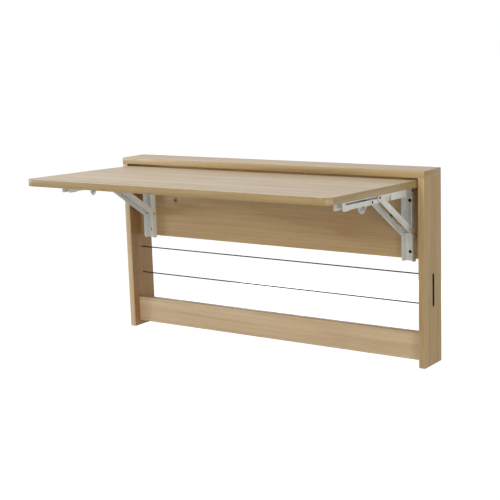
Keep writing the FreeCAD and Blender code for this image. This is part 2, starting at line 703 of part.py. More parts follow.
def make_lever_spring(side, x):
    """Close-wound spring on the lever pin, one leg up to the arm, one forward in the lever."""
    body = new_body(f"{side}_lever_spring")
    for turn in SPRING_TURNS:
        ring = body.newObject("PartDesign::AdditiveTorus", "Turn")
        place(ring, f"{turn} * spring_pitch", "0", "0", Rotation(*TURNS["X"]))
        bind(ring, Radius1="spring_radius", Radius2="spring_wire / 2")
    rod(body, "spring_wire", "pivot_under - sheet + lever_under - plate_clearance / 2",
        (f"{SPRING_TURNS[-1]} * spring_pitch", "spring_radius", "0"), "Z")
    rod(body, "spring_wire", "spring_foot",
        (f"{SPRING_TURNS[0]} * spring_pitch", "-spring_foot", "-spring_radius"), "Y")
    place(body, x, "lever_y", "lever_z")
    tilt(body, "-table_tilt")


# ---------------------------------------------------------------------------------------------
# Folding brackets: struts and release levers
# ---------------------------------------------------------------------------------------------
def on_strut(body, x):
    """Stand a body on a strut's own axes: origin at its foot, Y away from its knee."""
    place(body, x, "pivot_y + strut_back", "pivot_z - strut_drop")
    tilt(body, "-strut_rise")


def make_strut_plate(label, x):
    """Flat plate from the foot pin, where its end is square, to the knee, where it is round."""
    body = new_body(label)
    edge = "strut_width / 2"
    pad(body, rectangle("-strut_length", "strut_heel", f"-{edge}", edge), "strut_sheet")
    round_edges(body, [("strut_heel", f"-{edge}"), ("strut_heel", edge)], "strut_corner")
    rod(body, "strut_width", "strut_sheet", ("-strut_sheet / 2", "-strut_length", "0"))
    for y, pin in (("0", "foot_pin"), ("-strut_length", "strut_rivet")):
        bore(body, f"{pin} + 2 * pin_clearance", "strut_sheet", ("-strut_sheet / 2", y, "0"))
    on_strut(body, x)


def make_knee_rivets(side, x):
    """Two rivets with collars that guide the strut plates along the arm."""
    body = new_body(f"{side}_knee_rivets")
    inner = "arm_width / 2 + plate_clearance"
    shank = f"strut_outer - ({inner})"
    collar = f"strut_inner - ({inner})"
    for _, sign in SIDES:
        rod(body, "strut_rivet", shank, (outwards(sign, inner, shank), "-strut_length", "0"))
        rod(body, "knee_collar", collar, (outwards(sign, inner, collar), "-strut_length", "0"))
        rod(body, "strut_rivet + 2 * head_rim", "rivet_head",
            (outwards(sign, "strut_outer", "rivet_head"), "-strut_length", "0"))
    on_strut(body, x)


def make_release_lever(side, x):
    """Pressed lever: two cheeks on the lever pin and a finger scoop, open to the front."""
    body = new_body(f"{side}_release_lever")
    sole = "-lever_floor - sheet"
    pad(body, [("lever_tail", sole), ("lever_tail", "lever_crown"), ("-lever_tail", "lever_crown"),
               ("-lever_reach", "lever_brow"), ("-lever_reach", "-lever_hang"),
               ("-lever_shoulder", sole)], "2 * lever_half")
    round_scoop(body)
    hollow(body)
    bore(body, "lever_pin + 2 * pin_clearance", "2 * lever_half", ("-lever_half", "0", "0"))
    place(body, x, "lever_y", "lever_z")
    tilt(body, "-table_tilt")


def round_scoop(body):
    """Round the two long edges of the scoop's sloping floor."""
    tip = body.Tip
    ends = {round(value("-lever_reach"), 4), round(value("-lever_shoulder"), 4)}
    names = [f"Edge{index}" for index, edge in enumerate(tip.Shape.Edges, 1)
             if {round(vertex.Y, 4) for vertex in edge.Vertexes} == ends
             and min(vertex.Z for vertex in edge.Vertexes) < value("-lever_floor")]
    fillet = body.newObject("PartDesign::Fillet", "Fillet")
    fillet.Base = (tip, names)
    bind(fillet, Radius="scoop_round")
    DOC.recompute()


def hollow(body):
    """Leave a shell of sheet metal that is open at the top, behind and in front."""
    tip = body.Tip
    ends = (value("lever_tail"), value("-lever_reach"))
    faces = [f"Face{index}" for index, face in enumerate(tip.Shape.Faces, 1)
             if face.normalAt(0, 0).z > 0.9
             or any(abs(face.CenterOfMass.y - end) < 1e-4 for end in ends)]
    shell = body.newObject("PartDesign::Thickness", "Thickness")
    shell.Base = (tip, faces)
    shell.Reversed = True
    bind(shell, Value="sheet")
    DOC.recompute()


def make_bracket(side, sign):
    """One folding bracket, at its place across the desk."""
    x = f"{sign} * bracket_x"
    make_leg(side, x)
    make_leg_screws(side, x)
    make_pivot_pin(side, x)
    make_foot_pin(side, x)
    make_arm(side, x)
    make_arm_screws(side, x)
    make_lever_pin(side, x)
    make_lever_spring(side, x)
    offset = "strut_inner + strut_sheet / 2"
    make_strut_plate(f"{side}_strut_outer_plate", f"{x} + {sign} * ({offset})")
    make_strut_plate(f"{side}_strut_inner_plate", f"{x} - {sign} * ({offset})")
    make_knee_rivets(side, x)
    make_release_lever(side, x)


def write_parts():
    """Check every object and write each part to its own file."""
    DOC.recompute()
    for thing in DOC.Objects:
        if "Invalid" in thing.State or "Error" in thing.State:
            raise RuntimeError(f"{thing.Name} failed: {thing.State}")
    os.makedirs("parts", exist_ok=True)
    for part in PARTS:
        if part.Shape.isNull() or not part.Shape.isValid():
            raise RuntimeError(f"{part.Label}: bad shape")
        part.Shape.exportStep(f"parts/{part.Label}.step")
        print(f"{part.Label}: {len(part.Shape.Solids)} solids, {part.Shape.Volume / 1000:.2f} cm3")


SHEET = make_sheet()
make_boards()
make_edge_bands()
make_wall_cleat()
make_fixing_sleeves()
make_board_joints()
make_rack_wire()
make_tabletop()
for bracket_side, bracket_sign in SIDES:
    make_bracket(bracket_side, bracket_sign)
write_parts()
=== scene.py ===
import json
import math

import bmesh
import bpy
from mathutils import Matrix, Vector

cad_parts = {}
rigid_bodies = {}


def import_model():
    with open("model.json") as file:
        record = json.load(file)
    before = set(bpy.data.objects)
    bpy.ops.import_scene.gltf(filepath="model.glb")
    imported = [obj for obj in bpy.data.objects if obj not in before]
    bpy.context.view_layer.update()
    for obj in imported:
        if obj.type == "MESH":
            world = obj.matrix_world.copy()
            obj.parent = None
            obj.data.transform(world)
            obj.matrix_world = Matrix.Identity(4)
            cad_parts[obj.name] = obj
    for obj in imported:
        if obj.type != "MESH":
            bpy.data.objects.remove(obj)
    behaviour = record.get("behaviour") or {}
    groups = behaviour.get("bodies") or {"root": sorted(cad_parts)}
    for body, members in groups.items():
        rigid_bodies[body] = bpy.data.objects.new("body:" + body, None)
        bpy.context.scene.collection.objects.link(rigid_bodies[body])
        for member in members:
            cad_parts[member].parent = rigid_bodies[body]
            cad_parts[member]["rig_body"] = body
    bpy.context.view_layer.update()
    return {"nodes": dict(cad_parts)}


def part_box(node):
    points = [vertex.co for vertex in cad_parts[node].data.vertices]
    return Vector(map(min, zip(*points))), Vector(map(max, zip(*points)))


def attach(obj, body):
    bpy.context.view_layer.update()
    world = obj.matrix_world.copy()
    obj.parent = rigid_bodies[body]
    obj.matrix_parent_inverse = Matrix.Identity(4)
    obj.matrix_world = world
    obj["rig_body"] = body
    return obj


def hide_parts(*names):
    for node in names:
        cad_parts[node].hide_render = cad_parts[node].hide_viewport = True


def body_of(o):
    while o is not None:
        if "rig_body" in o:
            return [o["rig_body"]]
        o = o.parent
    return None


# Looks of the fold down wall desk: oak-print boards, edge bands, two powder-coated folding
# brackets and the wire rack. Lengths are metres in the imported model's frame: X to the desk's
# right, Y into the wall, Z up.
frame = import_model()
NODES = frame["nodes"]
SIDES = ("left", "right")
MM = 0.001

# camera, in metres and radians: eye, turn to the left, downward pitch, roll, and lens in mm
EYE = Vector((1.8564, -2.8100, 0.5034))
YAW, PITCH, ROLL = -0.61105, -0.18551, -0.03339
LENS = 86.06
# stage
FLOOR_Z = -0.95
FLOOR_HALF = 30
# its glow to the eye: under the desk, and beyond these distances from it
FLOOR_GLOW = 0.86
GLOW_NEAR, GLOW_FAR = 1.5, 4
# softboxes: name, place, middle of what it lights, side in metres, watts, and one of two tints
COOL, WARM = (0.95, 0.98, 1.08), (1.02, 1, 0.96)
SOFTBOXES = (("key_softbox", (-3.6, -1.8, 0.4), (0, -0.2, -0.1), 1.0, 46, COOL),
             ("front_softbox", (0.3, -4.2, 1.5), (0, -0.1, -0.1), 1.6, 64, WARM),
             ("low_softbox", (3.0, -2.2, -0.2), (0, -0.2, -0.1), 1.2, 27, WARM),
             ("side_softbox", (3.4, -0.15, -0.1), (0, -0.3, 0), 1.0, 20, WARM),
             ("top_softbox", (-0.6, -0.9, 3.0), (0, -0.3, 0), 2.2, 59, COOL),
             ("rear_softbox", (-1.6, 3.0, -0.5), (0, 0, -0.1), 1.2, 20, WARM))
# even light on the desk from all round
AMBIENT = 0.08
# the open tabletop rises by this angle towards its front
TABLE_TILT = math.radians(1.7)
TABLE_UP = Vector((0, math.sin(TABLE_TILT), math.cos(TABLE_TILT)))
# rounding of edge bands, pressed sheet, strut plates and sleeves, in metres
BAND_RADIUS, SHEET_RADIUS, PLATE_RADIUS, SLEEVE_RADIUS = 0.0004, 0.0008, 0.0005, 0.0003
# corners closer than MERGE are one; faces turned less than FLAT against each other are one face;
# edges turned more than BEVELLED are rounded, and shading stops at those turned more than SHARP
MERGE = 1e-6
FLAT, BEVELLED, SHARP = math.radians(0.5), math.radians(35), math.radians(28)
# how squarely a board's broad faces, and the end faces of an edge band, look along their axis
BROAD_FACE, END_FACE = 0.9, 0.7
# radius of the rack wire's two bends
WIRE_BEND = 4 * MM
# the wire's groove reaches this far beyond the wire; a face on a panel's outside is no deeper
GROOVE_EDGE, SKIN = 4 * MM, 0.1 * MM
# cam locks farther out than this sit in the side panels
SIDE_CAMS = 0.47


# ---------------------------------------------------------------------------------------------
# Node trees
# ---------------------------------------------------------------------------------------------
# sockets of a colour mix: its share, the colours at shares of 0 and 1, and what comes out
SHARE, UNDER, OVER, MIXED = 0, 6, 7, 2


def linear(text):
    """Linear RGBA of an sRGB hex colour."""
    parts = [int(text[i:i + 2], 16) / 255 for i in (1, 3, 5)]
    return (*(c / 12.92 if c <= 0.04045 else ((c + 0.055) / 1.055) ** 2.4 for c in parts), 1)


def add(tree, kind, inputs=(), stops=(), **settings):
    """Add a node with its settings and colour stops and return its outputs. Its inputs are given
    by name or in order, each as a value, another node's output or a list of such outputs."""
    made = tree.nodes.new(kind)
    for name, setting in settings.items():
        setattr(made, name, setting)
    for index, (place, tone) in enumerate(stops):
        ramp = made.color_ramp.elements
        stop = ramp[index] if index < len(ramp) else ramp.new(place)
        stop.position, stop.color = place, linear(tone)
    for key, given in inputs.items() if isinstance(inputs, dict) else enumerate(inputs):
        for each in given if isinstance(given, list) else [given]:
            if isinstance(each, bpy.types.NodeSocket):
                tree.links.new(each, made.inputs[key])
            else:
                made.inputs[key].default_value = each
    return made.outputs


def new_material(name):
    """An empty node material, its tree and the piece's own coordinates in it."""
    made = bpy.data.materials.new(name)
    made.use_nodes = True
    made.node_tree.nodes.clear()
    return made, made.node_tree, add(made.node_tree, "ShaderNodeTexCoord")["Object"]


def close_material(tree, colour, roughness, height, relief, **plain):
    """End a tree in a Principled shader: relief is the height map's depth in millimetres."""
    normal = add(tree, "ShaderNodeBump", {
        "Height": height, "Distance": relief * MM, "Strength": 1})[0]
    shader = add(tree, "ShaderNodeBsdfPrincipled", {
        "Base Color": colour, "Roughness": roughness, "Normal": normal, **plain})[0]
    add(tree, "ShaderNodeOutputMaterial", {"Surface": shader})


def per_metre(along, size):
    """Scale of a pattern whose length along one axis and width across it are in millimetres."""
    return tuple(1 / (size[0 if axis == along else 1] * MM) for axis in "XYZ")


# ---------------------------------------------------------------------------------------------
# Materials
# ---------------------------------------------------------------------------------------------
# every Map Range below is given its value, then the range that it has and the one that it gets

# turn that lays both broad faces of a board across the pattern's fine direction
GRAIN_TURN = {"X": (math.pi / 4, 0, 0), "Y": (0, math.pi / 4, 0), "Z": (0, 0, math.pi / 4)}
# patterns, in millimetres, as one size or as length and width; pores, orange peel and turning
# marks are a little coarser than real ones, which are too fine to show
FIGURE, RINGS = (600, 34), (1100, 20)
FIBRE, PORE = (70, 1.6), (16, 0.9)
HANDLED = 110
CHIP, DUST = 3.5, 1.2
PEEL, DRIFT = 1.1, 45
CLOUD, TURNING = 6, (0.35, 6)
RUNS = (20, 2.5)
BEECH_RINGS, BEECH_FIBRE = (300, 7), (30, 0.8)
GRIT = 0.5
# full depth of their relief, in millimetres
PORE_DEPTH, CHIP_DEPTH, PEEL_DEPTH, TURNING_DEPTH = 0.04, 0.15, 0.03, 0.01
RUNS_DEPTH, FIBRE_DEPTH, GRIT_DEPTH = 0.06, 0.1, 0.03


def oak_print(name, along, tones, shift, sheen):
    """Oak grain printed on paper and pressed in resin with a brushed pore texture: the eye gets
    long pale and dark streaks, short dark pores that dull the satin sheen, and broad figure."""
    made, tree, place = new_material(name)
    turned = add(tree, "ShaderNodeMapping", {"Vector": place, "Rotation": GRAIN_TURN[along]})[0]
    figured, ringed, fibred, pored = (
        add(tree, "ShaderNodeMapping", {
            "Vector": turned, "Scale": per_metre(along, size),
            "Location": (shift, 0.7 * shift, 0.4 * shift)})[0]
        for size in (FIGURE, RINGS, FIBRE, PORE))
    figure = add(tree, "ShaderNodeTexNoise", {
        "Vector": figured, "Scale": 1, "Detail": 3, "Roughness": 0.55, "Distortion": 0.8})["Fac"]
    rings = add(tree, "ShaderNodeTexWave", {
        "Vector": ringed, "Scale": 0.6, "Distortion": 7, "Detail": 2, "Detail Scale": 0.7,
        "Detail Roughness": 0.5}, bands_direction="X" if along != "X" else "Y")["Fac"]
    fibre = add(tree, "ShaderNodeTexNoise", {
        "Vector": fibred, "Scale": 1, "Detail": 2, "Roughness": 0.6})["Fac"]
    pore = add(tree, "ShaderNodeTexNoise", {
        "Vector": pored, "Scale": 1, "Detail": 1, "Roughness": 0.5})["Fac"]
    handled = add(tree, "ShaderNodeTexNoise", {
        "Vector": place, "Scale": 1 / (HANDLED * MM), "Detail": 3, "Roughness": 0.6})["Fac"]
    dark, middle, pale = tones
    broad = add(tree, "ShaderNodeValToRGB", {"Fac": figure},
                stops=[(0.30, dark), (0.48, middle), (0.70, pale)])["Color"]
    ring = add(tree, "ShaderNodeMapRange", (rings, 0.55, 1.0, 0, 0.30))[0]
    grown_rings = add(tree, "ShaderNodeMix", {
        SHARE: ring, UNDER: broad, OVER: linear(dark)}, data_type="RGBA")[MIXED]
    streak = add(tree, "ShaderNodeMapRange", (fibre, 0.35, 0.65, 0, 0.40))[0]
    streaked = add(tree, "ShaderNodeMix", {
        SHARE: streak, UNDER: grown_rings, OVER: linear(pale)}, data_type="RGBA")[MIXED]
    pores = add(tree, "ShaderNodeMapRange", (pore, 0.60, 0.68, 0, 1))[0]
    speck = add(tree, "ShaderNodeMapRange", (pores, 0, 1, 0, 0.22))[0]
    shade = add(tree, "ShaderNodeMix", {
        SHARE: speck, UNDER: streaked, OVER: linear(dark)},
        data_type="RGBA", blend_type="MULTIPLY")[MIXED]
    height = add(tree, "ShaderNodeMath", (fibre, pores), operation="SUBTRACT")[0]
    polished = add(tree, "ShaderNodeMapRange", (handled, 0.35, 0.70, 0.04, -0.05))[0]
    grained = add(tree, "ShaderNodeMapRange", (height, -0.6, 0.7, sheen + 0.12, sheen))[0]
    dull = add(tree, "ShaderNodeMath", (grained, polished))[0]
    close_material(tree, shade, dull, height, PORE_DEPTH, IOR=1.5)
    return made


def chipboard(name, tones):
    """Raw particle board where no paper or band covers it, bare or darkened to near-black as
    painted shade: the eye gets pressed chips of many tones, lying flat, with dark gaps and a dry
    rough surface."""
    made, tree, place = new_material(name)
    chips = add(tree, "ShaderNodeTexVoronoi", {"Vector": place, "Scale": 1 / (CHIP * MM)})
    dust = add(tree, "ShaderNodeTexNoise", {
        "Vector": place, "Scale": 1 / (DUST * MM), "Detail": 3})["Fac"]
    tone = add(tree, "ShaderNodeSeparateColor", {"Color": chips["Color"]})[0]
    gap, *chip_tones = tones
    chip = add(tree, "ShaderNodeValToRGB", {"Fac": tone},
               stops=zip((0.05, 0.35, 0.75, 1), chip_tones))["Color"]
    dusted = add(tree, "ShaderNodeMapRange", (dust, 0.35, 0.7, 0.5, 0))[0]
    shade = add(tree, "ShaderNodeMix", {
        SHARE: dusted, UNDER: chip, OVER: linear(gap)}, data_type="RGBA")[MIXED]
    dull = add(tree, "ShaderNodeMapRange", (dust, 0.3, 0.7, 0.95, 0.8))[0]
    close_material(tree, shade, dull, chips["Distance"], CHIP_DEPTH, IOR=1.45)
    return made


def powder_coat(name):
    """Pressed steel sheet with a white polyester powder coat: the eye gets a fine orange peel,
    a soft satin gloss and the peel's low spots painted slightly greyer, as painted shade in its
    hollows."""
    made, tree, place = new_material(name)
    peel = add(tree, "ShaderNodeTexNoise", {
        "Vector": place, "Scale": 1 / (PEEL * MM), "Detail": 2, "Roughness": 0.5})["Fac"]
    drift = add(tree, "ShaderNodeTexNoise", {
        "Vector": place, "Scale": 1 / (DRIFT * MM), "Detail": 3, "Roughness": 0.6})["Fac"]
    thick = add(tree, "ShaderNodeMapRange", (drift, 0.35, 0.65, 0, 1))[0]
    even = add(tree, "ShaderNodeMix", {
        SHARE: thick, UNDER: linear("#e2e4e0"), OVER: linear("#eff0ed")}, data_type="RGBA")[MIXED]
    # the peel's low spots are painted greyer: painted shade in its hollows
    low = add(tree, "ShaderNodeMapRange", (peel, 0.30, 0.5, 0.25, 0))[0]
    shade = add(tree, "ShaderNodeMix", {
        SHARE: low, UNDER: even, OVER: linear("#cfd0ca")}, data_type="RGBA")[MIXED]
    dull = add(tree, "ShaderNodeMapRange", (drift, 0.3, 0.7, 0.33, 0.43))[0]
    close_material(tree, shade, dull, peel, PEEL_DEPTH, IOR=1.5)
    return made


def plated_steel(name, dark, pale, roughness):
    """Turned and plated steel: the eye gets a cool metal sheen, cloudy plating and fine turning
    marks that blur it."""
    made, tree, place = new_material(name)
    cloud = add(tree, "ShaderNodeTexNoise", {
        "Vector": place, "Scale": 1 / (CLOUD * MM), "Detail": 4, "Roughness": 0.65})["Fac"]
    lathed = add(tree, "ShaderNodeMapping", {"Vector": place, "Scale": per_metre("X", TURNING)})[0]
    marks = add(tree, "ShaderNodeTexNoise", {"Vector": lathed, "Scale": 1, "Detail": 2})["Fac"]
    plated = add(tree, "ShaderNodeMapRange", (cloud, 0.35, 0.65, 0, 1))[0]
    shade = add(tree, "ShaderNodeMix", {
        SHARE: plated, UNDER: linear(dark), OVER: linear(pale)}, data_type="RGBA")[MIXED]
    dull = add(tree, "ShaderNodeMapRange", (
        marks, 0.3, 0.7, roughness - 0.07, roughness + 0.10))[0]
    close_material(tree, shade, dull, marks, TURNING_DEPTH, Metallic=1.0)
    return made


def coated_wire(name):
    """Steel wire dipped in black plastic: the eye gets a soft dark gloss with faint runs."""
    made, tree, place = new_material(name)
    drawn = add(tree, "ShaderNodeMapping", {"Vector": place, "Scale": per_metre("X", RUNS)})[0]
    runs = add(tree, "ShaderNodeTexNoise", {"Vector": drawn, "Scale": 1, "Detail": 3})["Fac"]
    shade = add(tree, "ShaderNodeMix", {
        SHARE: runs, UNDER: linear("#0b0907"), OVER: linear("#1a1612")}, data_type="RGBA")[MIXED]
    dull = add(tree, "ShaderNodeMapRange", (runs, 0.3, 0.7, 0.5, 0.65))[0]
    close_material(tree, shade, dull, runs, RUNS_DEPTH, IOR=1.4)
    return made


def turned_beech(name, dark, pale):
    """Beech dowel, turned and left raw: the eye gets a dry pink-brown wood with straight narrow
    rings and fine fibres along the dowel."""
    made, tree, place = new_material(name)
    ringed, fibred = (
        add(tree, "ShaderNodeMapping", {"Vector": place, "Scale": per_metre("X", size)})[0]
        for size in (BEECH_RINGS, BEECH_FIBRE))
    rings = add(tree, "ShaderNodeTexWave", {
        "Vector": ringed, "Scale": 1, "Distortion": 3, "Detail": 2}, bands_direction="Z")["Fac"]
    fibre = add(tree, "ShaderNodeTexNoise", {"Vector": fibred, "Scale": 1, "Detail": 3})["Fac"]
    ring = add(tree, "ShaderNodeMapRange", (rings, 0.2, 0.9, 0, 0.8))[0]
    grown_rings = add(tree, "ShaderNodeMix", {
        SHARE: ring, UNDER: linear(pale), OVER: linear(dark)}, data_type="RGBA")[MIXED]
    streak = add(tree, "ShaderNodeMapRange", (fibre, 0.35, 0.6, 0.3, 0))[0]
    shade = add(tree, "ShaderNodeMix", {
        SHARE: streak, UNDER: grown_rings, OVER: linear(dark)}, data_type="RGBA")[MIXED]
    dull = add(tree, "ShaderNodeMapRange", (fibre, 0.3, 0.7, 0.85, 0.7))[0]
    close_material(tree, shade, dull, fibre, FIBRE_DEPTH, IOR=1.5)
    return made


def moulded_nylon(name, dark, pale):
    """Injection moulded sleeve with spark-eroded grain: the eye gets a fine even grit, matt with
    a weak highlight."""
    made, tree, place = new_material(name)
    grit = add(tree, "ShaderNodeTexNoise", {
        "Vector": place, "Scale": 1 / (GRIT * MM), "Detail": 2})["Fac"]
    shade = add(tree, "ShaderNodeMix", {
        SHARE: grit, UNDER: linear(dark), OVER: linear(pale)}, data_type="RGBA")[MIXED]
    dull = add(tree, "ShaderNodeMapRange", (grit, 0.3, 0.7, 0.5, 0.65))[0]
    close_material(tree, shade, dull, grit, GRIT_DEPTH, IOR=1.5)
    return made


# tones of the print, dark, middle and pale, on each kind of board
TOP_TONES = ("#af966f", "#c1aa86", "#d0bc9b")
RAIL_TONES = ("#bb9e78", "#cfb28b", "#dcc5a1")
BACK_TONES = ("#a88658", "#b89868", "#c6a878")
# the left panel's tones are darker than the right's: painted shade on the inner face that it shows
SIDE_TONES = {"left": ("#926d40", "#a17c4d", "#af895b"),
              "right": ("#9b7c4b", "#ab8d59", "#ba9c69")}
# and on each set of edge bands; the left side's bands are painted lighter, as painted light from
# the left, and the right side's darker, as painted shade
BAND_TONES = {"tabletop": ("#8b6f44", "#a28756", "#b19969"),
              "frame": ("#977b50", "#b09464", "#c0a77a"),
              "left": ("#ad906a", "#c9ae83", "#dcc29d"),
              "right": ("#9d7e51", "#b59866", "#c8aa7a")}
# roughness of the print on broad faces and on bands, where it has no pores
BOARD_SHEEN, BAND_SHEEN = 0.40, 0.36
# steps, in lengths of each pattern, that give every board and the bands grain of their own
BOARD_SHIFT, BAND_SHIFT = 1.7, 3.1
# axes along which each set of bands runs; the eye gets the print again, but with its grain along
# the band and a little smoother
BAND_RUNS = {"tabletop": "XY", "frame": "XY", "left": "ZY", "right": "ZY"}
BANDS = {(kind, along): oak_print(f"oak_print_abs_band_{kind}_{along}", along, BAND_TONES[kind],
                                  BAND_SHIFT, BAND_SHEEN)
         for kind, runs in BAND_RUNS.items() for along in runs}
# raw core shows straw-coloured chips; the near-black copy, painted shade for the rack wire's
# groove, leaves only a hint of them
CORE = chipboard("raw_particle_board",
                 ("#a3855c", "#b39468", "#c6a87d", "#d4ba90", "#e0cba6"))
GROOVE_SHADE_CORE = chipboard("painted_shade_particle_board",
                    ("#140d06", "#1c1209", "#24180d", "#2c1e11", "#332415"))
COAT = powder_coat("white_powder_coated_steel")
BLACK_WIRE = coated_wire("black_coated_wire")
BEECH = turned_beech("turned_beech", "#b58a62", "#d0ab84")
SLEEVE = moulded_nylon("moulded_nylon", "#8d7755", "#a58e69")
# zinc is pale and slightly warm, drawn spring wire greyer, and black oxide takes nearly all light
ZINC = plated_steel("zinc_plated_steel", "#a9a79f", "#c9cac6", 0.32)
SPRING_STEEL = plated_steel("drawn_spring_steel", "#7d7c78", "#9b9a95", 0.30)
BLACK_STEEL = plated_steel("black_oxide_steel", "#1d1b19", "#34312d", 0.40)


# ---------------------------------------------------------------------------------------------
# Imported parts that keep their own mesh
# ---------------------------------------------------------------------------------------------
def dress(mesh, materials, choose=lambda face: 0):
    """Give a mesh its materials; choose picks one for each face."""
    mesh.materials.clear()
    for material in materials:
        mesh.materials.append(material)
    for face in mesh.polygons:
        face.material_index = choose(face)


def in_groove(face, wire, panel):
    """Whether a face lines the wire's groove or holes inside the right side panel."""
    spot = face.center
    across = all(wire[0][axis] - GROOVE_EDGE < spot[axis] < wire[1][axis] + GROOVE_EDGE
                 for axis in (1, 2))
    return across and panel[0].x + SKIN < spot.x < panel[1].x - SKIN


def dress_boards():
    """Printed faces with the grain of each board, and raw core on what no band covers."""
    flat, across, upright_board = Vector((0, 0, 1)), Vector((0, 1, 0)), Vector((1, 0, 0))
    boards = {"top_panel": ("X", flat, TOP_TONES), "tabletop": ("X", TABLE_UP, TOP_TONES),
              "bottom_rail": ("X", across, RAIL_TONES), "back_panel": ("X", across, BACK_TONES),
              "left_side_panel": ("Z", upright_board, SIDE_TONES["left"]),
              "right_side_panel": ("Z", upright_board, SIDE_TONES["right"])}
    wire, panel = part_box("rack_wire"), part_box("right_side_panel")
    for shift, (name, (along, broad, tones)) in enumerate(boards.items()):
        printed = oak_print(f"oak_print_melamine_{name}", along, tones,
                            BOARD_SHIFT * shift, BOARD_SHEEN)
        # faces lining the rack wire's groove get the near-black core, painted shade in the groove
        dress(NODES[name].data, [printed, CORE, GROOVE_SHADE_CORE],
              lambda face: 2 if in_groove(face, wire, panel)
              else 0 if abs(face.normal.dot(broad)) > BROAD_FACE else 1)


def dress_fittings():
    """Plain fittings inside the frame."""
    for name, material in (("wall_cleat", CORE), ("frame_dowels", BEECH), ("cam_bolts", ZINC)):
        dress(NODES[name].data, [material])


# ---------------------------------------------------------------------------------------------
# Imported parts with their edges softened
# ---------------------------------------------------------------------------------------------
def show(name, mesh, node):
    """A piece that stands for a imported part, rides on its body and takes its finish."""
    piece = bpy.data.objects.new(name, mesh)
    bpy.context.scene.collection.objects.link(piece)
    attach(piece, body_of(NODES[node])[0])
    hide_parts(node)


def merged(node):
    """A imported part's mesh with shared corners and whole flat faces."""
    mesh = bmesh.new()
    mesh.from_mesh(NODES[node].data)
    bmesh.ops.remove_doubles(mesh, verts=mesh.verts, dist=MERGE)
    bmesh.ops.dissolve_limit(mesh, angle_limit=FLAT, verts=mesh.verts, edges=mesh.edges)
    return mesh


def plain_mesh(holder, name):
    """The mesh an object shows with its modifiers; the object itself goes."""
    bpy.context.view_layer.update()
    seen = holder.evaluated_get(bpy.context.evaluated_depsgraph_get())
    mesh = bpy.data.meshes.new_from_object(seen)
    mesh.name = name
    bpy.data.objects.remove(holder)
    return mesh


def soften(node, width, materials, choose=lambda face: 0):
    """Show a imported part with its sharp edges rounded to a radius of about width."""
    source = bpy.data.meshes.new(f"{node}_source")
    corners = merged(node)
    corners.to_mesh(source)
    corners.free()
    holder = bpy.data.objects.new(source.name, source)
    bpy.context.scene.collection.objects.link(holder)
    bevel = holder.modifiers.new("softened_edges", "BEVEL")
    bevel.width, bevel.segments = width, 2
    bevel.limit_method, bevel.angle_limit = "ANGLE", BEVELLED
    mesh = plain_mesh(holder, f"{node}_softened")
    dress(mesh, materials, choose)
    mesh.polygons.foreach_set("use_smooth", [True] * len(mesh.polygons))
    mesh.set_sharp_from_angle(angle=SHARP)
    show(f"{node}_soft", mesh, node)


def soften_bands():
    """Edge bands: a small radius outside and a fine groove at the glue line."""
    for name, kind in (("top_panel_edge_bands", "frame"), ("tabletop_edge_band", "tabletop")):
        soften(name, BAND_RADIUS, [BANDS[kind, "X"], BANDS[kind, "Y"]],
               lambda face: 1 if abs(face.normal.x) > END_FACE else 0)
    for side in SIDES:
        soften(f"{side}_side_edge_bands", BAND_RADIUS, [BANDS[side, "Z"], BANDS[side, "Y"]],
               lambda face: 1 if abs(face.normal.z) > END_FACE else 0)
    for name in ("bottom_rail_edge_bands", "back_panel_edge_band"):
        soften(name, BAND_RADIUS, [BANDS["frame", "X"]])


def soften_brackets():
    """Pressed sheet metal: bends and cut edges that the coat has rounded."""
    for side in SIDES:
        for part in ("bracket_leg", "bracket_arm", "release_lever"):
            soften(f"{side}_{part}", SHEET_RADIUS, [COAT])
        for part in ("strut_outer_plate", "strut_inner_plate"):
            soften(f"{side}_{part}", PLATE_RADIUS, [COAT])
    soften("wall_fixing_sleeves", SLEEVE_RADIUS, [SLEEVE])


# ---------------------------------------------------------------------------------------------
# Turned and wound parts, built by Geometry Nodes
# ---------------------------------------------------------------------------------------------
# fineness of round parts: sides and rings of a head, sides of a shank, points of a wire's bend,
# points of a spring's turn and sides of its wire
HEAD_SIDES, HEAD_RINGS, SHANK_SIDES = 40, 7, 24
BEND_POINTS, TURN_POINTS, SPRING_SIDES = 10, 28, 12
# shading stops at edges turned more than this, on turned parts and on wires
TURNED_CREASE, WIRE_CREASE = math.radians(32), math.radians(40)
# power by which a head's crown falls to its rim, and width of a cross recess against its length
CROWN_POWER, RECESS_WIDTH = 3.0, 0.24


def new_tree(name, inputs):
    """A geometry tree with named inputs, each with a type and a default."""
    tree = bpy.data.node_groups.new(name, "GeometryNodeTree")
    sockets = tree.interface
    sockets.new_socket("Geometry", in_out="INPUT", socket_type="NodeSocketGeometry")
    sockets.new_socket("Geometry", in_out="OUTPUT", socket_type="NodeSocketGeometry")
    for label, (kind, default) in inputs.items():
        socket = sockets.new_socket(label, in_out="INPUT", socket_type=f"NodeSocket{kind}")
        if default is not None:
            socket.default_value = default
    return tree, add(tree, "NodeGroupInput")


def close_tree(tree, given, geometry):
    """End a tree: instances made real, material set."""
    real = add(tree, "GeometryNodeRealizeInstances", {"Geometry": geometry})[0]
    finished = add(tree, "GeometryNodeSetMaterial", {
        "Geometry": real, "Material": given["Material"]})[0]
    add(tree, "NodeGroupOutput", {"Geometry": finished})


def creased(tree, mesh, crease):
    """Smooth shading that stops at edges sharper than an angle."""
    soft = add(tree, "GeometryNodeSetShadeSmooth", (mesh,))[0]
    turn = add(tree, "GeometryNodeInputMeshEdgeAngle")[0]
    steep = add(tree, "FunctionNodeCompare", (turn, crease), operation="GREATER_THAN")[0]
    return add(tree, "GeometryNodeSetShadeSmooth", (soft, steep, False), domain="EDGE")[0]


